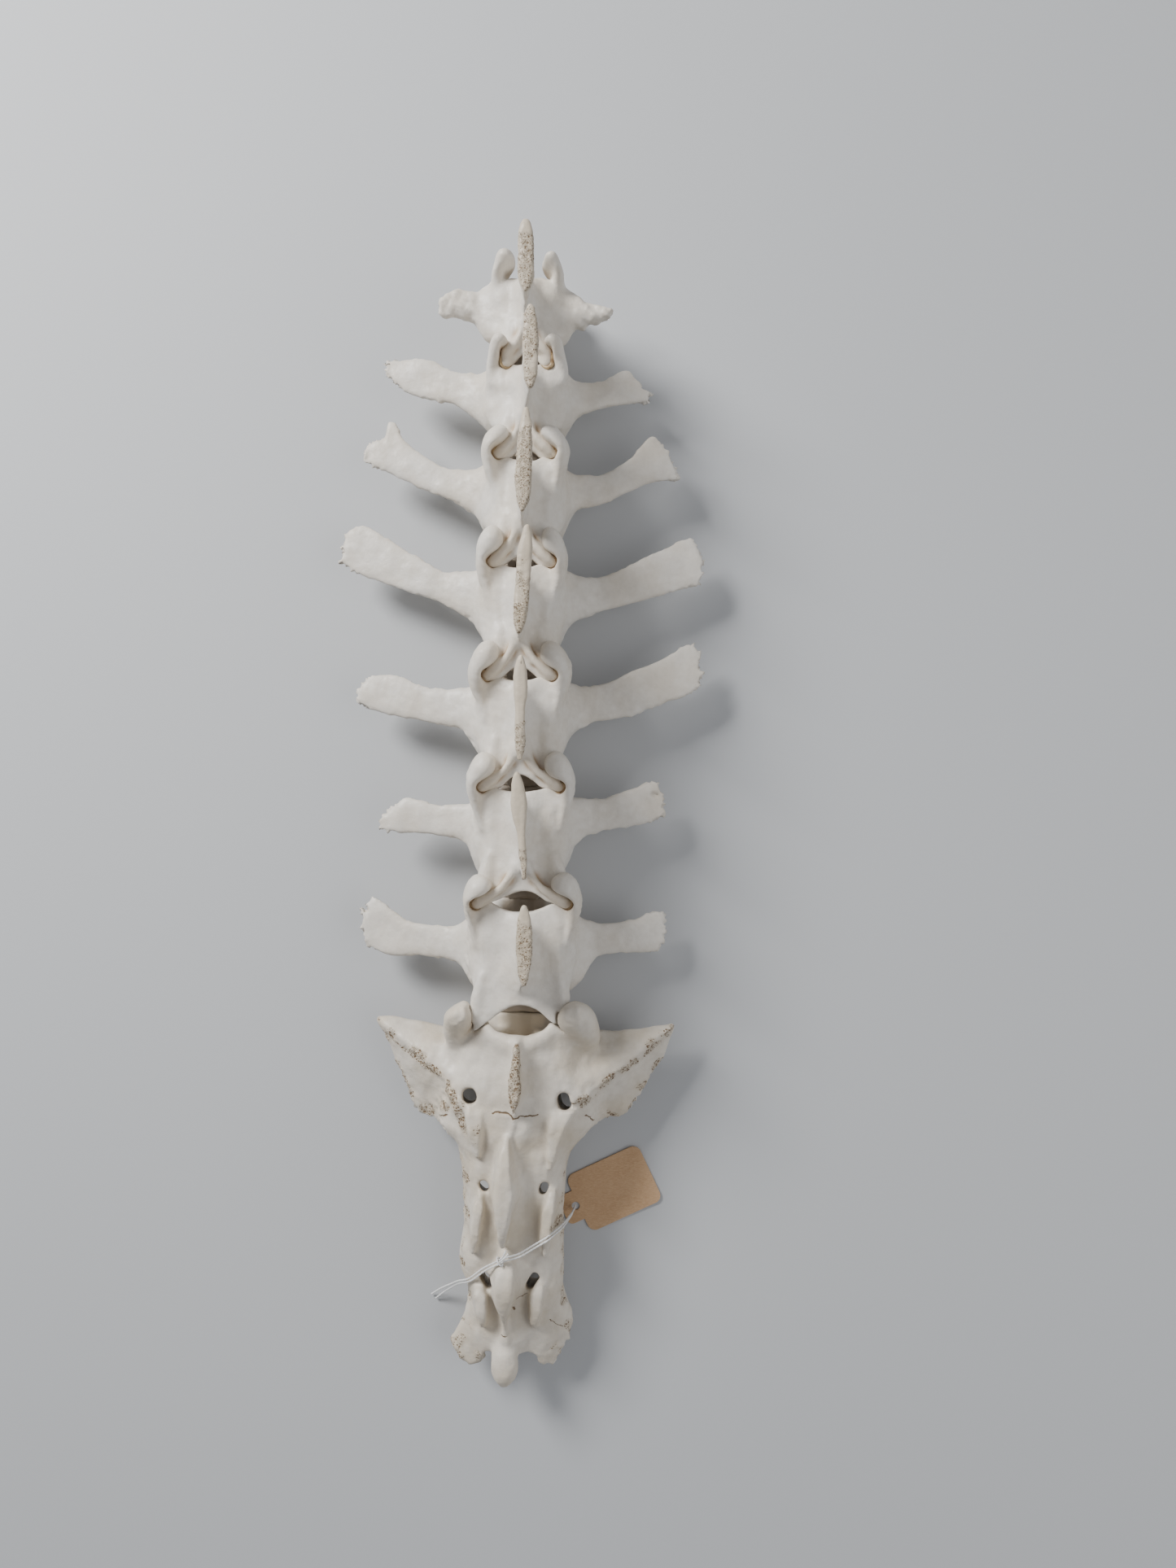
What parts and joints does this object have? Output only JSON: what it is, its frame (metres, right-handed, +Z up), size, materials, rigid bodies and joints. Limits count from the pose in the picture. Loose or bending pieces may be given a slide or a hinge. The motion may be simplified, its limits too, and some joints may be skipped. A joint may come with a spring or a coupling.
{
  "type": "sheep spine",
  "caption": "Dried lower spine of a sheep, life size: bare vertebrae with broad side processes, in line with the sacrum, and a blank card tag on a cotton string.",
  "frame": {"origin": "below the middle of the box, on the surface that the spine lies on", "axes": "+Z up from that surface; +Y along the spine to the head end; +X to the animal's right"},
  "size_m": [0.1297, 0.3873, 0.066],
  "materials": {
    "bone": "dry bone, satin",
    "card": "matte card",
    "cotton": "matte thread"
  },
  "bodies": {
    "root": {"vertebra_t13": "bone", "vertebra_l1": "bone", "vertebra_l2": "bone", "vertebra_l3": "bone", "vertebra_l4": "bone", "vertebra_l5": "bone", "vertebra_l6": "bone", "sacrum": "bone", "tag": "card", "string_left": "cotton", "string_right": "cotton", "string_knot": "cotton"}
  },
  "joints": []
}
